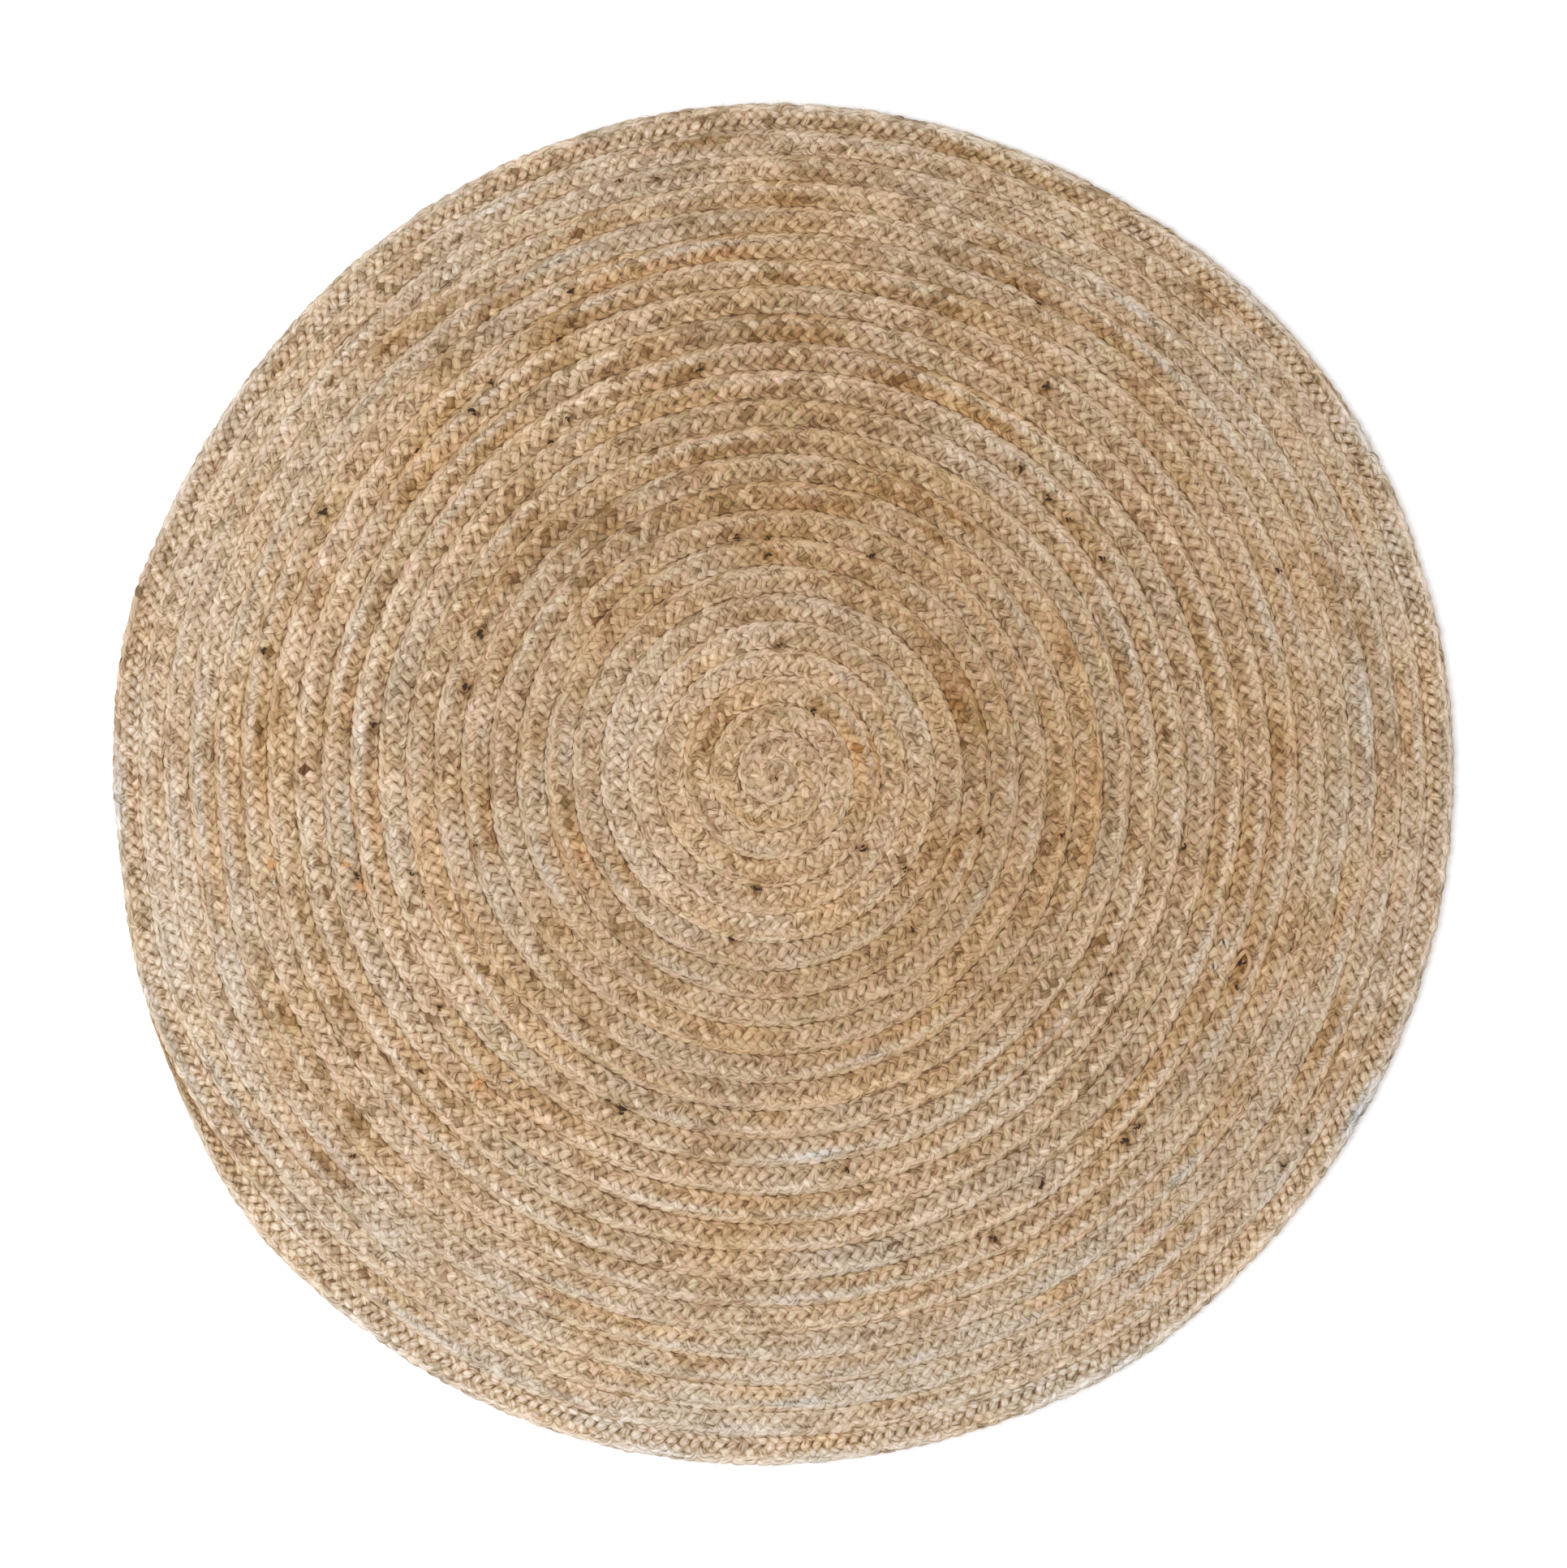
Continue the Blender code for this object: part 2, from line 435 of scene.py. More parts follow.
# The shade in the gaps between the strands, from 0 for black to 1 for none
INNER_GAP_SHADE = 0.26  # in a row's inner half
OUTER_GAP_SHADE = 0.50
START_GAP_SHADE = 0.15  # added at the braid's start
START_SHADE_TURNS = (4, 1)  # over which that rises
OPEN_MARGIN = 1.0 * MM  # added to a corner's distance from the braid's middle height
OPEN_HEIGHT = 4.6 * MM  # the sum at which the corner is fully open
GAP_OPENNESS = (0.36, 0.96)  # over which the shade gives way
SEAM_SHARES = (0.93, 1.0)
SEAM_SHADE = 0.05  # how much darker the rows' outer edges are
DEEPENING = np.array((0.54, 0.84, 1.42))  # power by which red, green and blue fade in the shade

# Bits of bark, and painted shade of the small gaps beside them, as they lie in the photograph
DARK_BITS = (
    # x and y from the coil's middle, and length, in mm
    (-135, -296, 8.5),
    (-147, -289, 4),
    (412, -166, 8),
    (409, -188, 5),
    (-371, -89, 6),
    (-275, 78, 7.5),
    (243, 244, 6.5),
    (-252, 347, 5),
    (86, 194, 7.5),
    (-17, -101, 6),
    (323, -312, 5.5),
    (311, -324, 7),
    (182, -49, 6),
    (-38, -146, 5),
    (-269, 323, 7.5),
    (-182, 428, 6),
    (34, 57, 6.5),
    (-34, 209, 6.5),
    (-6, 210, 5),
    (-5, 195, 5.5),
    (78, -67, 6.5),
    (254, -54, 5),
    (64, -350, 5),
    (-199, 295, 6.5),
    (115, -83, 5),
    (-138, 527, 5),
    (-105, 529, 4),
    (289, 192, 6),
    (218, 272, 6),
    (-313, -264, 5),
    (-373, -338, 4.5),
    (234, 418, 5),
    (-312, -104, 4),
    (122, -138, 5),
    (-402, 232, 8),
    (363, -65, 5.5),
    (-323, -88, 4.5),
    (451, -347, 4.5),
    (472, -317, 4),
    (-262, 126, 7.5),
    (-356, 44, 6),
    (195, -412, 6.5),
    (-317, 288, 5),
    (240, 344, 7),
    (-267, -64, 5),
    (-298, -206, 5),
    (-183, 315, 5),
    (446, 181, 6),
    (237, -363, 6.5),
    (-192, 386, 6),
    (298, -177, 4.5),
    (-66, 359, 6),
    (-454, 109, 6),
    (259, 226, 5),
    (3, 114, 5),
    (1, -3, 3.5),
)
ORANGE_KNOTS = (
    # the same
    (-446, -80, 7),
    (-380, -79, 6),
    (-367, -100, 7),
    (-264, -275, 8),
)
PALE_BITS = (
    # the same
    (-444, -96, 6),
    (401, -150, 10),
    (391, -169, 9),
    (-236, -271, 6),
)
SPOT_CORE = 0.3  # of a bit's length, within which the strands are fully stained and shaded
STAIN_AND_SHADE_REACH = 1.7  # and as far as which they are stained and shaded at all
KNOT_REACH = 1.6
# how much darker the stain and the painted shade of the small gaps make the strands there
STAIN_AND_SHADE_DEPTH = 34.0
SPOT_WARMTH = 12.0


def near_spots(points, spots, reach):
    """1 at these spots of the photograph and 0 at this many of their lengths from them."""
    x, y, length = np.array(spots).T * MM
    across = points[..., None, :2] - np.stack([x, y], -1)
    distance = np.linalg.norm(across, axis=-1) / length
    return 1 - smooth(SPOT_CORE, reach, distance.min(-1))


def display_colour(lightness, warmth, green):
    """The linear colour with this luminance on the 0 to 255 scale of a screen. There, blue
    lies under red by the warmth, and green by this share of it."""
    red = lightness + warmth * (LUMINANCE[1] * green + LUMINANCE[2])
    screen = np.stack([red, red - green * warmth, red - warmth], -1) / 255
    return np.clip((screen + 0.055) / 1.055, 0, 1) ** 2.4


def by_half(inner, outer, band):
    """The inner value in a row's inner half, and the outer one in its pale outer half."""
    return inner * (1 - band) + outer * band


def drift_by_half(rng, run, spacing, band):
    """A random number that drifts along the rows, on its own in each half of a row."""
    inner = value_noise(rng, run, spacing)[:, None]
    outer = value_noise(rng, run, spacing)[:, None]
    return by_half(inner, outer, band)


def pale_band(rng, data, between_rows):
    """About 1 in the pale outer half of a row, and about 0 in its inner half."""
    band = smooth(*BAND_START, data["share"])
    band = band * (1 - smooth(*BAND_END, data["share"]) * between_rows)
    drift = BAND_DRIFT * value_noise(rng, data["run"], BAND_LENGTH)[:, None]
    return np.clip(band + drift, 0, BAND_MOST)


def row_tones(turn, band):
    """The lightness and warmth that the rows have by turn and half, with painted light from one
    side by bearing.
    """
    inner_light, outer_light, inner_warm, outer_warm = (
        np.interp(turn, TONES[:, 0], TONES[:, column])[:, None] for column in (1, 2, 3, 4)
    )
    # painted light, palest on the side it falls from
    lit_side = np.cos(bearing_of(turn) - LIT_SIDE_BEARING) * smooth(*LIT_SIDE_TURNS, turn)
    lightness = by_half(inner_light, outer_light, band) + LIT_SIDE_LIGHTNESS * lit_side[:, None]
    warmth = by_half(inner_warm, outer_warm, band) + LIT_SIDE_WARMTH * lit_side[:, None]
    return lightness, warmth


def side_lightness(turn):
    """How much paler the outer rows are at the bearing of this turn."""
    paler = np.interp(np.degrees(bearing_of(turn)) % 360, SIDES[:, 0], SIDES[:, 1])
    return (paler * smooth(*SIDES_TURNS, turn))[:, None]


def gap_shade(data, band, between_rows):
    """How much light reaches each corner of a strand. The gaps between strands are darkest."""
    from_middle = np.abs(data["corners"][..., 2] - MID_HEIGHT)
    openness = (from_middle + OPEN_MARGIN) / OPEN_HEIGHT
    darkest = by_half(INNER_GAP_SHADE, OUTER_GAP_SHADE, band)
    darkest = darkest + START_GAP_SHADE * smooth(*START_SHADE_TURNS, data["turn"])[:, None]
    shade = darkest + (1 - darkest) * smooth(*GAP_OPENNESS, openness)
    at_seam = smooth(*SEAM_SHARES, data["share"]) * between_rows
    return shade * (1 - SEAM_SHADE * at_seam)


def strand_colours(strand, data):
    """The colour of each corner of a strand, with its fibres left to the material."""
    own = np.random.default_rng(SEED * 10 + strand)
    common = np.random.default_rng(SEED * 7)
    run, turn = data["run"], data["turn"]
    between_rows = (turn < TURNS - 1)[:, None]
    band = pale_band(common, data, between_rows)
    lightness, warmth = row_tones(turn, band)
    bead = BEAD_LIGHTNESS * value_noise(own, run, BEAD_LENGTH)[:, None]
    patch = PATCH_LIGHTNESS * drift_by_half(common, run, PATCH_LENGTH, band)
    patch += side_lightness(turn)
    warmth += PATCH_WARMTH * drift_by_half(common, run, WARMTH_LENGTH, band)
    warmth -= WARMTH_OF_DARK_PATCH * patch + WARMTH_OF_DARK_BEAD * bead
    both = patch + bead
    lightness += both - SKEW * (both**2 - np.mean(both**2))
    green = GREEN_SHARE + GREEN_DRIFT * value_noise(own, run, GREEN_LENGTH)[:, None]
    corners = data["corners"] + MIDDLE
    # round the dark bits the strands are stained and darkened with painted shade of the small
    # gaps there
    stain_and_shade = near_spots(corners, DARK_BITS, STAIN_AND_SHADE_REACH)
    knot = near_spots(corners, ORANGE_KNOTS, KNOT_REACH)
    lightness -= STAIN_AND_SHADE_DEPTH * stain_and_shade
    warmth += SPOT_WARMTH * (stain_and_shade + knot)
    colour = ALBEDO_GAIN * display_colour(lightness, warmth, green)
    shade = gap_shade(data, band, between_rows)[..., None]
    return np.clip(colour * shade**DEEPENING, 0, 1).reshape(-1, 3)


# ---------------------------------------------------------------- nodes of materials


def linked(tree, kind, inputs=(), **settings):
    """A new node. inputs gives values or output sockets by input name or number."""
    node = tree.nodes.new(kind)
    for name, value in settings.items():
        setattr(node, name, value)
    for name, value in dict(inputs).items():
        if isinstance(value, bpy.types.NodeSocket):
            tree.links.new(value, node.inputs[name])
        else:
            node.inputs[name].default_value = value
    return node


def math_node(tree, operation, *inputs):
    node = linked(tree, "ShaderNodeMath", dict(enumerate(inputs)), operation=operation)
    return node.outputs["Value"]


def vector_node(tree, operation, inputs):
    return linked(tree, "ShaderNodeVectorMath", inputs, operation=operation).outputs["Vector"]


def weighted_sum(tree, *terms):
    (socket, weight), *others = terms
    total = math_node(tree, "MULTIPLY", socket, weight)
    for socket, weight in others:
        total = math_node(tree, "MULTIPLY_ADD", socket, weight, total)
    return total


def spread(tree, socket, low, high, kind="LINEAR"):
    """The socket's values from low to high, spread over 0 to 1. low may be the larger one."""
    inputs = {"Value": socket, "From Min": low, "From Max": high}
    node = linked(tree, "ShaderNodeMapRange", inputs, interpolation_type=kind)
    return node.outputs["Result"]


def from_half(tree, socket):
    """How far the socket's value is from a half."""
    return math_node(tree, "ABSOLUTE", math_node(tree, "SUBTRACT", socket, 0.5))


def noise(tree, vector, scale, detail):
    """Noise with its features this many times smaller than a unit of the vector, by axis."""
    scaled = vector_node(tree, "MULTIPLY", {0: vector, 1: scale})
    inputs = {"Vector": scaled, "Scale": 1.0, "Detail": detail}
    return linked(tree, "ShaderNodeTexNoise", inputs).outputs["Fac"]


def grain(tree, scale, detail):
    """Even noise over a piece, with this many features in a metre."""
    where = linked(tree, "ShaderNodeTexCoord").outputs["Object"]
    inputs = {"Vector": where, "Scale": scale, "Detail": detail}
    return linked(tree, "ShaderNodeTexNoise", inputs).outputs["Fac"]


def colour_ramp(tree, socket, stops):
    """The colours at these positions, by the socket's value."""
    node = linked(tree, "ShaderNodeValToRGB", {"Fac": socket})
    elements = node.color_ramp.elements
    for index, (position, colour) in enumerate(stops):
        element = elements[index] if index < 2 else elements.new(position)
        element.position = position
        element.color = (*colour, 1)
    return node.outputs["Color"]


def new_material(name):
    """A new material, its node tree and its surface."""
    material = bpy.data.materials.new(name)
    material.use_nodes = True
    return material, material.node_tree, material.node_tree.nodes["Principled BSDF"]


# ---------------------------------------------------------------- materials

# The twist of the strands. Their fibres are measured in mm, along the strand and round it
TWIST_LENGTH = 55 * MM
TWISTS = (1, -1, 1, -1, 1)  # which way round each strand is twisted
STRAND_OFFSET = 70000.0  # keeps one strand's fibres from repeating another's
PLIES = 6
PLY_WOBBLE = 1.2  # in plies
WOBBLE_SCALE = (0.11, 0.10, 0.10)  # these scales are in features per mm
RIDGE_SIDES = (0.5, 0.20)  # from a ply's middle, in plies, to its hollow and to its ridge
PLY_SPACING = 17.3  # keeps one ply's tones from repeating another's
PLY_SCALE = (0.13, 1.0, 1.0)
BUNDLE_SCALE = (0.13, 0.17, 0.17)
BUNDLE_DETAIL = 0.6
FINE_SCALE = (0.07, 1.5, 1.5)

# The rows, measured along by STREAK_PITCH and across by share
STREAK_PITCH = 11.0  # mm, for one pitch
STREAK_SCALE = (0.045, 6.0, 0.0)
SEAM_SIDES = (0.450, 0.490)  # from the row's middle, where the painted shade line at its seams sets in
SMOOTH_END = (0.88, 1.02)  # shares over which a row's smooth outer half ends
OUTER_ROWS = (17, 22)  # turns over which the rows get smoother
OUTER_ROWS_SMOOTH = 0.8  # up to this share of a smooth band

# How much each adds to the height of the fibres that shows in their colour
RIDGE_TONE = 0.17
PLY_TONE = 0.60
BUNDLE_TONE = 0.80
FINE_TONE = 0.38
SEAM_DEPTH = 0.055  # taken off at the seams, as painted shade of the groove between the rows
BLOTCHES = (1.0, 0.55)  # shares of the plies' and bundles' tones on rough and smooth places
STREAKS = (0.20, 0.80)  # and of the streaks

# And how much each adds to the one that shows in their relief
RIDGE_RELIEF = 0.30
BUNDLE_RELIEF = 0.30
FINE_RELIEF = 0.50
RELIEF_DEPTH = 1.5 * MM
TONE_HEIGHTS = (-0.02, 0.58)  # from the darkest hollow to the palest ridge
# Painted shade and highlight: by the fibres' height, which is mostly tone that varies at random,
# their colour is tinted darker and warmer in the hollows and paler and cooler on the ridges
SHADE_AND_HIGHLIGHT_TINTS_SCALE = 1.8
SHADE_AND_HIGHLIGHT_TINTS = (
    # height of the fibres, tint over SHADE_AND_HIGHLIGHT_TINTS_SCALE
    (0.0, (0.150, 0.112, 0.070)),
    (0.25, (0.365, 0.333, 0.285)),
    (0.5, (0.555, 0.555, 0.555)),
    (1.0, (0.715, 0.760, 0.840)),
)

# the bed's colours, darker than the strands: painted shade of the gaps between them, where it
# shows
BED_DARK = (0.10, 0.055, 0.022)
BED_PALE = (0.26, 0.165, 0.085)
THREAD_DARK = (0.40, 0.31, 0.20)
THREAD_PALE = (0.66, 0.56, 0.42)


def ply_pattern(tree, fibre):
    """The plies' ridges, 1 along the middle of each, and the plies' own tones."""
    parts = linked(tree, "ShaderNodeSeparateXYZ", {"Vector": fibre})
    angle = math_node(tree, "ARCTAN2", parts.outputs["Z"], parts.outputs["Y"])
    even = math_node(tree, "MULTIPLY", angle, PLIES / (2 * math.pi))
    wobble = noise(tree, fibre, WOBBLE_SCALE, 1.0)
    ply = math_node(tree, "MULTIPLY_ADD", wobble, PLY_WOBBLE, even)
    from_middle = from_half(tree, math_node(tree, "FRACT", ply))
    ridge = spread(tree, from_middle, *RIDGE_SIDES, kind="SMOOTHSTEP")
    number = math_node(tree, "FLOORED_MODULO", math_node(tree, "FLOOR", ply), PLIES)
    apart = math_node(tree, "MULTIPLY", number, PLY_SPACING)
    own_place = linked(tree, "ShaderNodeCombineXYZ", {"X": parts.outputs["X"], "Y": apart})
    tone = noise(tree, own_place.outputs["Vector"], PLY_SCALE, 0.0)
    tone = math_node(tree, "SUBTRACT", tone, 0.5)
    return ridge, math_node(tree, "MULTIPLY", tone, ridge)


def by_smoothness(tree, socket, smoothness, shares):
    """The socket's value times the share for a rough place, a smooth one or one between."""
    on_rough, on_smooth = shares
    factor = math_node(tree, "MULTIPLY_ADD", smoothness, on_smooth - on_rough, on_rough)
    return math_node(tree, "MULTIPLY", socket, factor)


def fibre_height(tree, ridge, ply_tone, bundles, fine):
    """The height that the fibres seem to have by their colour."""
    row = linked(tree, "ShaderNodeAttribute", attribute_name="row").outputs["Vector"]
    parts = linked(tree, "ShaderNodeSeparateXYZ", {"Vector": row})
    smoothness = parts.outputs["Z"]
    from_row_middle = from_half(tree, parts.outputs["Y"])
    # a painted shade line along the seams between the rows
    seam = spread(tree, from_row_middle, *SEAM_SIDES, kind="SMOOTHSTEP")
    streaks = math_node(tree, "SUBTRACT", noise(tree, row, STREAK_SCALE, 1.0), 0.5)
    streaks = by_smoothness(tree, streaks, smoothness, STREAKS)
    bundle_tone = math_node(tree, "SUBTRACT", bundles, 0.5)
    blotches = weighted_sum(tree, (ply_tone, PLY_TONE), (bundle_tone, BUNDLE_TONE))
    blotches = by_smoothness(tree, blotches, smoothness, BLOTCHES)
    terms = ((ridge, RIDGE_TONE), (blotches, 1.0), (streaks, 1.0), (fine, FINE_TONE))
    return weighted_sum(tree, *terms, (seam, -SEAM_DEPTH))


def jute_material():
    """Twisted plies of fibre, with painted shade, dark and warm, in the hollows between them and
    a painted highlight on their ridges.
    """
    material, tree, surface = new_material("jute_strand")
    colour = linked(tree, "ShaderNodeAttribute", attribute_name="jute").outputs["Color"]
    fibre = linked(tree, "ShaderNodeAttribute", attribute_name="fibre").outputs["Vector"]
    ridge, ply_tone = ply_pattern(tree, fibre)
    bundles = noise(tree, fibre, BUNDLE_SCALE, BUNDLE_DETAIL)
    fine = noise(tree, fibre, FINE_SCALE, 1.0)
    height = fibre_height(tree, ridge, ply_tone, bundles, fine)
    # painted shade in the hollows and painted highlight on the ridges
    tint = colour_ramp(tree, spread(tree, height, *TONE_HEIGHTS), SHADE_AND_HIGHLIGHT_TINTS)
    tinted = vector_node(tree, "MULTIPLY", {0: colour, 1: tint})
    lit = vector_node(tree, "SCALE", {0: tinted, "Scale": SHADE_AND_HIGHLIGHT_TINTS_SCALE})
    tree.links.new(lit, surface.inputs["Base Color"])
    terms = ((ridge, RIDGE_RELIEF), (bundles, BUNDLE_RELIEF), (fine, FINE_RELIEF))
    inputs = {"Height": weighted_sum(tree, *terms), "Strength": 0.5, "Distance": RELIEF_DEPTH}
    bump = linked(tree, "ShaderNodeBump", inputs)
    tree.links.new(bump.outputs["Normal"], surface.inputs["Normal"])
    surface.inputs["Roughness"].default_value = 0.82
    surface.inputs["Specular IOR Level"].default_value = 0.3
    surface.inputs["Sheen Weight"].default_value = 0.12
    surface.inputs["Sheen Roughness"].default_value = 0.5
    return material


def bed_material():
    """Matted fibre, darkened as painted shade of the gaps between the strands."""
    material, tree, surface = new_material("jute_bed")
    colour = colour_ramp(tree, grain(tree, 600.0, 3.0), ((0.0, BED_DARK), (1.0, BED_PALE)))
    tree.links.new(colour, surface.inputs["Base Color"])
    surface.inputs["Roughness"].default_value = 0.95
    return material


def thread_material():
    """Waxed cotton, faintly slubbed."""
    material, tree, surface = new_material("cotton_thread")
    slub = grain(tree, 900.0, 2.0)
    colour = colour_ramp(tree, slub, ((0.0, THREAD_DARK), (1.0, THREAD_PALE)))
    tree.links.new(colour, surface.inputs["Base Color"])
    bump = linked(tree, "ShaderNodeBump", {"Height": slub, "Distance": 0.2 * MM})
    tree.links.new(bump.outputs["Normal"], surface.inputs["Normal"])
    surface.inputs["Roughness"].default_value = 0.6
    return material


def floor_material():
    """White, and a little brighter than its light makes it."""
    material, _, surface = new_material("white_floor")
    surface.inputs["Base Color"].default_value = (0.92, 0.92, 0.92, 1)
    surface.inputs["Roughness"].default_value = 0.9
    surface.inputs["Specular IOR Level"].default_value = 0.0
    surface.inputs["Emission Color"].default_value = (1, 1, 1, 1)
    surface.inputs["Emission Strength"].default_value = 0.15
    return material


# ---------------------------------------------------------------- pieces of many corners


def new_piece(name, vertices, faces, material):
    mesh = bpy.data.meshes.new(name)
    mesh.from_pydata(vertices, [], faces)
    mesh.shade_smooth()
    mesh.materials.append(material)
    piece = bpy.data.objects.new(name, mesh)
    bpy.context.scene.collection.objects.link(piece)
    return piece


def add_vectors(piece, name, values):
    attribute = piece.data.attributes.new(name, "FLOAT_VECTOR", "POINT")
    attribute.data.foreach_set("vector", values.astype(np.float32).ravel())


def add_colours(piece, name, values):
    attribute = piece.data.attributes.new(name, "FLOAT_COLOR", "POINT")
    opaque = np.concatenate([values, np.ones((len(values), 1))], 1)
    attribute.data.foreach_set("color", opaque.astype(np.float32).ravel())


def tube_faces(sections, sides):
    """The quads of a tube with this many sections, and a face at each end."""
    ring = np.arange(sections - 1)[:, None] * sides
    corner = np.arange(sides)[None, :]
    after = (corner + 1) % sides
    ring_after = ring + sides
    quads = np.stack([ring + corner, ring + after, ring_after + after, ring_after + corner], -1)
    first = list(range(sides))[::-1]
    last = [(sections - 1) * sides + i for i in range(sides)]
    return quads.reshape(-1, 4).tolist() + [first, last]


def tube(points, radius, sides):
    """The corners of a tube along these points, section by section."""
    side, up = directions_across(points)
    angles = (np.arange(sides) / sides * 2 * math.pi)[:, None]
    around = side[:, None] * np.cos(angles) + up[:, None] * np.sin(angles)
    return points[:, None] + around * np.reshape(radius, (-1, 1, 1))


ROW_MIDDLE = (0.0, 0.5, 0.0)  # small pieces aren't streaked, smoothed or seamed as the rows are
THIN_FIBRES = (1.0, 0.1, 0.1)  # and their fibres' measure is pressed together across them


def join_forms(name, forms, colour, material):
    """One piece of many forms, each with its corners, its faces and its fibres' measure."""
    vertices, faces, fibres = [], [], []
    offset = 0
    for corners, form_faces, form_fibres in forms:
        faces += [[offset + corner for corner in face] for face in form_faces]
        offset += len(corners)
        vertices.append(corners)
        fibres.append(form_fibres)
    piece = new_piece(name, np.concatenate(vertices), faces, material)
    add_vectors(piece, "fibre", np.concatenate(fibres))
    add_vectors(piece, "row", np.tile(ROW_MIDDLE, (offset, 1)))
    add_colours(piece, "jute", np.tile(colour, (offset, 1)))
    return piece


def make_tubes(name, tubes, colour, material):
    """One piece of many tubes. Where they lie is their fibres' measure."""
    forms = []
    for tube_corners in tubes:
        sections, sides = tube_corners.shape[:2]
        corners = tube_corners.reshape(-1, 3)
        forms.append((corners, tube_faces(sections, sides), corners / MM * THIN_FIBRES))
    return join_forms(name, forms, colour, material)


# ---------------------------------------------------------------- pieces


def make_strand(strand, material):
    data = strand_mesh(strand)
    corners, share = data["corners"], data["share"]
    faces = tube_faces(*corners.shape[:2])
    piece = new_piece(f"strand_{strand + 1}", corners.reshape(-1, 3), faces, material)
    turned = TWISTS[strand] * data["length"] / TWIST_LENGTH * 2 * math.pi
    twist = data["angles"] + turned[:, None]
    along = data["length"][:, None] / MM + STRAND_OFFSET * strand
    around = HALF_WIDTH / MM
    fibre = [np.broadcast_to(along, twist.shape), around * np.cos(twist), around * np.sin(twist)]
    along_row = np.broadcast_to(data["run"][:, None] * STREAK_PITCH, twist.shape)
    smooth_band = smooth(*BAND_START, share) * (1 - smooth(*SMOOTH_END, share))
    smooth_row = OUTER_ROWS_SMOOTH * smooth(*OUTER_ROWS, data["turn"])[:, None]
    row = [along_row, share, np.maximum(smooth_band, smooth_row)]
    add_vectors(piece, "fibre", np.stack(fibre, -1).reshape(-1, 3))
    add_vectors(piece, "row", np.stack(row, -1).reshape(-1, 3))
    add_colours(piece, "jute", strand_colours(strand, data))
    return piece


# Bits worked into the braid
BIT_SIDES = 8
BIT_RINGS = 5
BIT_GIRTHS = (0.7, 1.15)  # how uneven a bit's rings are
BIT_BEND = 0.35  # how far it is bent, by its width
BIT_LEVEL = 0.4  # keeps the bent bit in its place
BIT_END_BEND = 0.6
BIT_ANGLES = (-0.7, 0.0, 0.7)  # from the row's direction, as the strands run
BIT_ANGLE_SPREAD = 0.25
BIT_OFFSET = 7000.0  # mm along the fibres
CRUMB_SIZE = 0.6  # a second, smaller bit beside each, by the first one's length
CRUMB_REACH = 0.55
BITS = (
    # name, places, height, width and thickness by length, colour
    # near-black lumps: bits of bark, and painted shade of the small gaps beside them
    ("bark_bits", DARK_BITS, 7.6 * MM, (0.50, 0.25), (0.030, 0.013, 0.004)),
    ("orange_knots", ORANGE_KNOTS, 7.0 * MM, (0.75, 0.42), (0.50, 0.235, 0.085)),
    ("pale_bits", PALE_BITS, 7.3 * MM, (0.45, 0.30), (0.46, 0.38, 0.27)),
)


def lump(rng, length, width, thickness, direction):
    """The corners of one rounded, uneven bit that lies level, from its middle."""
    around = np.arange(BIT_SIDES) / BIT_SIDES * 2 * math.pi
    along = np.cos(np.arange(1, BIT_RINGS + 1) / (BIT_RINGS + 1) * math.pi)
    girth = np.sqrt(1 - along**2) * rng.uniform(*BIT_GIRTHS, BIT_RINGS)
    bend = BIT_BEND * width * (along**2 - BIT_LEVEL)
    x = np.repeat(along * length / 2, BIT_SIDES)
    y = (girth[:, None] * np.cos(around) * width / 2 + bend[:, None]).ravel()
    z = (girth[:, None] * np.sin(around) * thickness / 2).ravel()
    end_bend = BIT_END_BEND * bend[0]
    ends = [[length / 2, end_bend, 0], [-length / 2, end_bend, 0]]
    local = np.concatenate([np.stack([x, y, z], -1), ends])
    c, s = math.cos(direction), math.sin(direction)
    return local @ np.array([[c, s, 0], [-s, c, 0], [0, 0, 1]])


def lump_faces():
    """The quads between a bit's rings, and the triangles round its two ends."""
    faces = []
    first = BIT_RINGS * BIT_SIDES
    last = first + 1
    for side in range(BIT_SIDES):
        after = (side + 1) % BIT_SIDES
        faces.append((first, after, side))
        for a in range(0, first - BIT_SIDES, BIT_SIDES):
            b = a + BIT_SIDES
            faces.append((a + side, a + after, b + after, b + side))
        a = first - BIT_SIDES
        faces.append((a + side, a + after, last))
    return faces


def make_bits(name, spots, height, shape, colour, material):
    """Small bits worked into the braid. shape gives their width and thickness by length."""
    rng = np.random.default_rng(SEED + len(name))
    bits = [(x, y, length, 0.0) for x, y, length in spots]
    bits += [(x, y, CRUMB_SIZE * length, CRUMB_REACH * length) for x, y, length in spots]
    forms = []
    for x, y, length, reach in bits:
        away = rng.uniform(0, 2 * math.pi)
        x += reach * math.cos(away)
        y += reach * math.sin(away)
        centre = np.array([x * MM, y * MM, height]) - MIDDLE
        along_row = math.atan2(y, x) + math.pi / 2
        direction = along_row + rng.choice(BIT_ANGLES) + rng.normal() * BIT_ANGLE_SPREAD
        size = length * MM
        corners = lump(rng, size, shape[0] * size, shape[1] * size, direction)
        forms.append((corners + centre, lump_faces(), corners / MM * THIN_FIBRES + BIT_OFFSET))
    return join_forms(name, forms, colour, material)


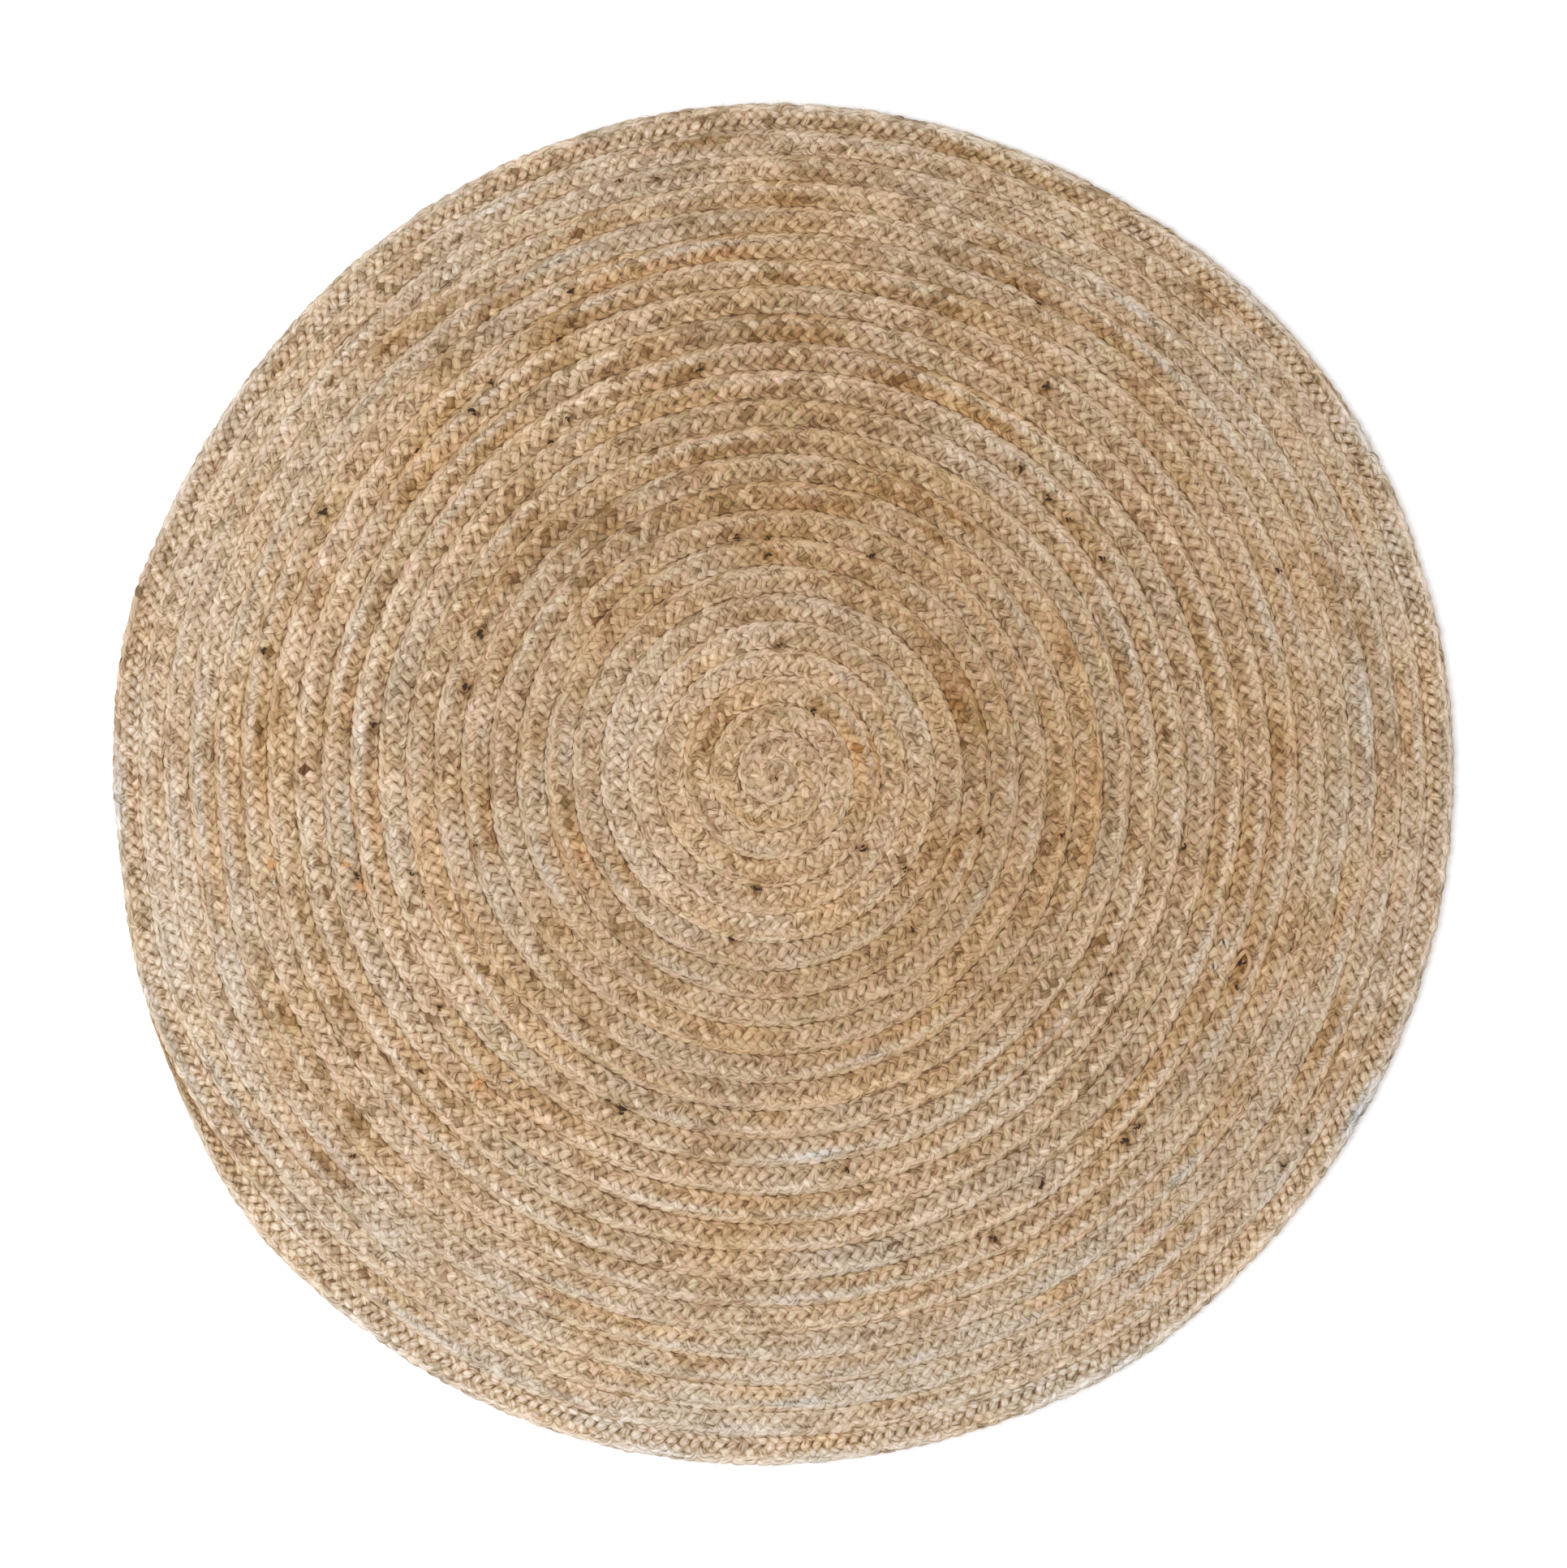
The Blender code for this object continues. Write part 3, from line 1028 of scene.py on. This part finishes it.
LOOP = (
    # a strand's end that stands up: x and y from the coil's middle, and height, in mm
    (401.0, -182.0, 5.0),
    (404.6, -173.6, 7.4),
    (411.0, -162.8, 9.0),
    (417.6, -157.0, 9.4),
    (421.2, -166.4, 9.0),
    (417.6, -177.2, 8.2),
    (411.0, -180.8, 7.2),
    (403.0, -179.0, 5.2),
)
LOOP_RADIUS = 1.9 * MM
LOOP_SIDES = 8
LOOP_STEPS = 6  # sections from one point to the next
LOOP_COLOUR = (0.50, 0.30, 0.15)


def curve_through(points, steps):
    """A smooth curve through all of the points but the first and last."""
    points = np.array(points)
    parts = []
    for i in range(1, len(points) - 2):
        a, b, c, d = points[i - 1 : i + 3]
        x = (np.arange(steps) / steps)[:, None]
        parts.append(
            b
            + (c - a) * x / 2
            + (2 * a - 5 * b + 4 * c - d) * x**2 / 2
            + (3 * b - a - 3 * c + d) * x**3 / 2
        )
    return np.concatenate(parts)


def make_loop(material):
    line = curve_through(LOOP, LOOP_STEPS) * MM - MIDDLE
    return make_tubes("loose_loop", [tube(line, LOOP_RADIUS, LOOP_SIDES)], LOOP_COLOUR, material)


# Loose fibres that stand off the rug. Two values are the least and the most of a range
STRAY_RADIUS = 0.14 * MM
STRAY_TAPER = np.array((0.6, 1.0, 1.0, 0.9, 0.7, 0.35))  # by section
STRAY_SIDES = 3
STRAY_COLOUR = (0.56, 0.44, 0.29)
STRAY_BOW = 0.12  # by length
STRAY_COUNT = 900
STRAY_TURNS = (1.5, TURNS - 0.6)
STRAY_SHARES = (0.1, 0.9)
STRAY_HEIGHT = 7.0 * MM
STRAY_ANGLE_SPREAD = 0.6  # from the row's direction
STRAY_LENGTHS = (9, 24)  # mm
STRAY_RISES = (0.6, 2.2)  # mm
RIM_STRAY_COUNT = 160
RIM_STRAY_TURNS = (TURNS - 1, TURNS - 0.1)
RIM_STRAY_SHARE = 0.93
RIM_STRAY_HEIGHTS = (2.0, 5.5)  # mm
RIM_STRAY_ANGLES = (0.5, 1.2)  # from straight outward, to either side
RIM_STRAY_LENGTHS = (5, 9)  # mm
RIM_STRAY_RISES = (0.0, 1.0)  # mm


def stray_fibre(rng, start, direction, length, rise):
    """The corners of one loose fibre, bowed and arched over the braid."""
    x = np.linspace(0, 1, len(STRAY_TAPER))
    bow = rng.normal() * STRAY_BOW * length * np.sin(math.pi * x)
    ahead = np.array([math.cos(direction), math.sin(direction), 0])
    aside = np.array([-ahead[1], ahead[0], 0])
    line = start + ahead * (x * length)[:, None] + aside * bow[:, None]
    line[:, 2] += rise * np.sin(math.pi * x)
    return tube(line, STRAY_RADIUS * STRAY_TAPER, STRAY_SIDES)


def stray_on_top(rng):
    """A fibre that lies over the rows, with these spread evenly over the rug."""
    inner, outer = STRAY_TURNS
    turn = math.sqrt(rng.uniform(inner**2, outer**2))
    start = place(turn, rng.uniform(*STRAY_SHARES), STRAY_HEIGHT)
    direction = bearing_of(turn) + math.pi / 2 + rng.normal() * STRAY_ANGLE_SPREAD
    length = rng.uniform(*STRAY_LENGTHS) * MM
    return stray_fibre(rng, start, direction, length, rng.uniform(*STRAY_RISES) * MM)


def stray_at_rim(rng):
    """A fibre that sticks out over the floor."""
    turn = rng.uniform(*RIM_STRAY_TURNS)
    start = place(turn, RIM_STRAY_SHARE, rng.uniform(*RIM_STRAY_HEIGHTS) * MM)
    direction = bearing_of(turn) + rng.choice((-1, 1)) * rng.uniform(*RIM_STRAY_ANGLES)
    length = rng.uniform(*RIM_STRAY_LENGTHS) * MM
    return stray_fibre(rng, start, direction, length, rng.uniform(*RIM_STRAY_RISES) * MM)


def make_stray_fibres(material):
    rng = np.random.default_rng(SEED * 3)
    tubes = [stray_on_top(rng) for _ in range(STRAY_COUNT)]
    tubes += [stray_at_rim(rng) for _ in range(RIM_STRAY_COUNT)]
    return make_tubes("stray_fibres", tubes, STRAY_COLOUR, material)


THREAD_START = 0.8  # turns
THREAD_END = 1.02  # turns before the tip
THREAD_STEP = 6 * MM  # along the seam, from one needle hole to the next
THREAD_REACH = 3.4 * MM  # of a stitch, to either side of the seam
THREAD_HEIGHT = 0.60 * MM
THREAD_RADIUS = 0.55 * MM
THREAD_SIDES = 3


def make_thread(material):
    """The sewing thread, zigzagging over the underside of the seam between the rows."""
    turns = np.arange(THREAD_START, TURNS - THREAD_END, TABLE_STEP)
    steps = seam_radius(turns[1:]) * 2 * math.pi * np.diff(turns)
    length = np.concatenate([[0], np.cumsum(steps)])
    turn = np.interp(np.arange(0, length[-1], THREAD_STEP), length, turns)
    reach = THREAD_REACH * np.where(np.arange(len(turn)) % 2, 1, -1)
    height = np.full(len(turn), THREAD_HEIGHT)
    line = polar_points(bearing_of(turn), seam_radius(turn) + reach, height)
    corners = tube(line, THREAD_RADIUS, THREAD_SIDES).reshape(-1, 3)
    faces = tube_faces(len(line), THREAD_SIDES)
    return new_piece("sewing_thread", corners, faces, material)


BED_RINGS = 6
BED_STEPS = 240
BED_INSET = 5.0 * MM
BED_TOP = 5.0 * MM
BED_BOTTOM = 4.4 * MM


def bed_faces():
    """The faces of the bed's two layers and of its edge. The middles of the layers are its
    last two corners."""
    layer = BED_RINGS * BED_STEPS
    top_middle, bottom_middle = 2 * layer, 2 * layer + 1
    rim = layer - BED_STEPS
    faces = []
    for i in range(BED_STEPS):
        j = (i + 1) % BED_STEPS
        faces.append((top_middle, j, i))
        faces.append((bottom_middle, layer + i, layer + j))
        for a in range(0, rim, BED_STEPS):
            b = a + BED_STEPS
            faces.append((a + i, a + j, b + j, b + i))
            faces.append((layer + a + j, layer + a + i, layer + b + i, layer + b + j))
        faces.append((rim + i, rim + j, layer + rim + j, layer + rim + i))
    return faces


def make_bed(material):
    """The strands' felted inner faces, as one thin sheet that closes the gaps between them, dark
    with painted shade.
    """
    turn = TURNS - 1 + (np.arange(BED_STEPS) + 0.5) / BED_STEPS
    rim = place(turn, 1.0, np.zeros(BED_STEPS)) + MIDDLE
    inward = rim / np.linalg.norm(rim, axis=1)[:, None]
    rim = rim - inward * BED_INSET
    rings = []
    for height in (BED_TOP, BED_BOTTOM):
        for ring in range(1, BED_RINGS + 1):
            loop = rim * ring / BED_RINGS - MIDDLE
            loop[:, 2] = height
            rings.append(loop)
    middles = [(*-MIDDLE[:2], height) for height in (BED_TOP, BED_BOTTOM)]
    return new_piece("fibre_bed", np.concatenate(rings + [middles]), bed_faces(), material)


# ---------------------------------------------------------------- the studio

# The camera, over the middle of the photograph's frame
FRAME_WIDTH = 1.3938  # of the floor in the photograph
CAMERA_HEIGHT = 3.6
SENSOR = 36.0

FLOOR_SIZE = 14
SKY_STRENGTH = 0.80
LAMP_POWER = 36
LAMP_SIZE = 1.8
LAMP_PLACE = (-1.35, -0.25, 2.3)


def add_floor():
    bpy.ops.mesh.primitive_plane_add(size=FLOOR_SIZE, location=(0, 0, 0))
    floor = bpy.context.object
    floor.name = "floor"
    floor.data.materials.append(floor_material())


def add_camera():
    camera = bpy.data.objects.new("camera", bpy.data.cameras.new("camera"))
    camera.location = (0, 0, CAMERA_HEIGHT)
    camera.data.sensor_width = SENSOR
    camera.data.lens = SENSOR * CAMERA_HEIGHT / FRAME_WIDTH
    bpy.context.scene.collection.objects.link(camera)
    bpy.context.scene.camera = camera


def add_lights():
    world = bpy.data.worlds.new("studio")
    bpy.context.scene.world = world
    world.use_nodes = True
    background = world.node_tree.nodes["Background"]
    background.inputs["Color"].default_value = (1, 1, 1, 1)
    background.inputs["Strength"].default_value = SKY_STRENGTH
    lamp = bpy.data.lights.new("softbox", "AREA")
    lamp.energy = LAMP_POWER
    lamp.size = LAMP_SIZE
    box = bpy.data.objects.new("softbox", lamp)
    box.location = LAMP_PLACE
    box.rotation_euler = (-box.location.xyz).to_track_quat("-Z", "Y").to_euler()
    bpy.context.scene.collection.objects.link(box)
    bpy.context.scene.view_settings.view_transform = "Standard"


add_camera()
add_lights()
add_floor()
jute = jute_material()
pieces = [make_strand(strand, jute) for strand in range(STRANDS)]
pieces += [make_bits(*bits, jute) for bits in BITS]
pieces.append(make_loop(jute))
pieces.append(make_stray_fibres(jute))
pieces.append(make_thread(thread_material()))
bed = make_bed(bed_material())
for piece in pieces + [bed]:
    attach(piece, "root")
    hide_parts("braided_rug")
